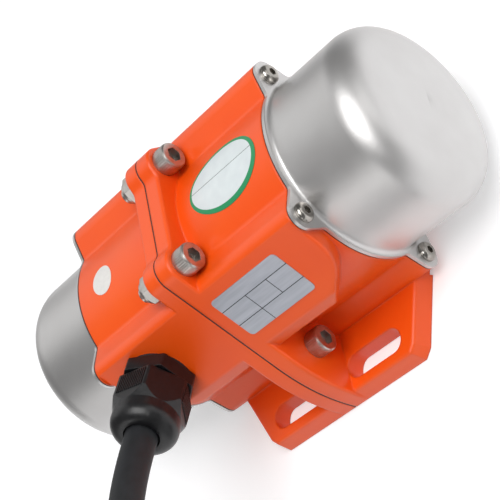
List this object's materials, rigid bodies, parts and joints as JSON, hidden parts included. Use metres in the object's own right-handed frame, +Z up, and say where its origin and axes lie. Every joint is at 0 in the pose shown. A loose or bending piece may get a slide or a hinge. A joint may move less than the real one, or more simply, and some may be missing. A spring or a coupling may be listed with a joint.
{
  "type": "vibration motor",
  "caption": "Foot-mounted vibration motor: orange cast housing, domed end caps over adjustable eccentric weights, slotted feet, and a side gland with a thick black cable.",
  "frame": {"origin": "Centre of the four foot slots, on the mounting plane under the feet.", "axes": "+X along the shaft towards the end with the plate and the round label, -Y towards the side of the cable gland and the plate, +Z up, away from the mounting plane."},
  "size_m": [0.1858, 0.3209, 0.0884],
  "materials": {
    "housing_paint": "orange paint over die-cast aluminium, satin",
    "cap_steel": "bare drawn stainless steel, satin",
    "gasket_rubber": "dark sealing sheet",
    "zinc_steel": "zinc-plated steel",
    "gland_plastic": "black polyamide",
    "seal_rubber": "black rubber",
    "cable_jacket": "black cable jacket, matt",
    "core_insulation": "insulation of the cores",
    "plate_metal": "satin anodised plate with a ruled grid",
    "label_print": "white label with a green ring",
    "sticker_print": "blank white sticker",
    "lamination_steel": "stacked electrical steel",
    "winding_copper": "enamelled copper wire",
    "capacitor_case": "pale plastic case",
    "shaft_steel": "ground steel",
    "rotor_aluminium": "die-cast aluminium",
    "bearing_steel": "polished bearing steel",
    "weight_iron": "machined cast iron",
    "spring_steel": "blued spring steel",
    "lead_insulation": "insulation of the inner wires"
  },
  "bodies": {
    "housing": {"front_housing": "housing_paint", "rear_housing": "housing_paint", "housing_gasket": "gasket_rubber", "housing_screws": "zinc_steel", "housing_nuts": "zinc_steel", "front_cap": "cap_steel", "rear_cap": "cap_steel", "front_cap_gasket": "gasket_rubber", "rear_cap_gasket": "gasket_rubber", "front_cap_screws": "zinc_steel", "rear_cap_screws": "zinc_steel", "gland_washer": "seal_rubber", "gland_body": "gland_plastic", "gland_seal": "seal_rubber", "gland_nut": "gland_plastic", "cable_entry": "cable_jacket", "winding_leads": "lead_insulation", "power_cable": "cable_jacket", "power_cable_coil": "cable_jacket", "cable_cores": "core_insulation", "name_plate": "plate_metal", "round_label": "label_print", "round_sticker": "sticker_print", "stator_core": "lamination_steel", "stator_windings": "winding_copper", "capacitor": "capacitor_case", "capacitor_leads": "lead_insulation", "bearing_outer_races": "bearing_steel", "bearing_shields": "bearing_steel", "preload_washer": "spring_steel"},
    "rotor": {"shaft": "shaft_steel", "rotor_core": "lamination_steel", "rotor_cage": "rotor_aluminium", "bearing_inner_races": "bearing_steel", "bearing_circlips": "spring_steel", "front_inner_weight": "weight_iron", "rear_inner_weight": "weight_iron", "weight_keys": "shaft_steel", "weight_spacers": "shaft_steel", "end_washers": "zinc_steel", "end_screws": "zinc_steel"},
    "front_weight": {"front_outer_weight": "weight_iron", "front_clamp_screw": "zinc_steel"},
    "rear_weight": {"rear_outer_weight": "weight_iron", "rear_clamp_screw": "zinc_steel"},
    "front_cage": {"front_bearing_cage": "spring_steel", "front_bearing_balls": "bearing_steel"},
    "rear_cage": {"rear_bearing_cage": "spring_steel", "rear_bearing_balls": "bearing_steel"}
  },
  "joints": [
    {"name": "rotor_spin", "type": "hinge", "parent": "housing", "child": "rotor", "pos_m": [0, 0, 0.0373], "axis": [1, 0, 0], "continuous": true},
    {"name": "front_weight_turn", "type": "hinge", "parent": "rotor", "child": "front_weight", "pos_m": [0.07495, 0, 0.0373], "axis": [1, 0, 0], "range_deg": [0, 180]},
    {"name": "rear_weight_turn", "type": "hinge", "parent": "rotor", "child": "rear_weight", "pos_m": [-0.07495, 0, 0.0373], "axis": [1, 0, 0], "range_deg": [0, 180]},
    {"name": "front_cage_spin", "type": "hinge", "parent": "housing", "child": "front_cage", "pos_m": [0.0418, 0, 0.0373], "axis": [1, 0, 0], "continuous": true},
    {"name": "rear_cage_spin", "type": "hinge", "parent": "housing", "child": "rear_cage", "pos_m": [-0.0418, 0, 0.0373], "axis": [1, 0, 0], "continuous": true}
  ],
  "couplings": [
    {"joint": "front_cage_spin", "follows": "rotor_spin", "ratio": 0.365},
    {"joint": "rear_cage_spin", "follows": "rotor_spin", "ratio": 0.365}
  ]
}
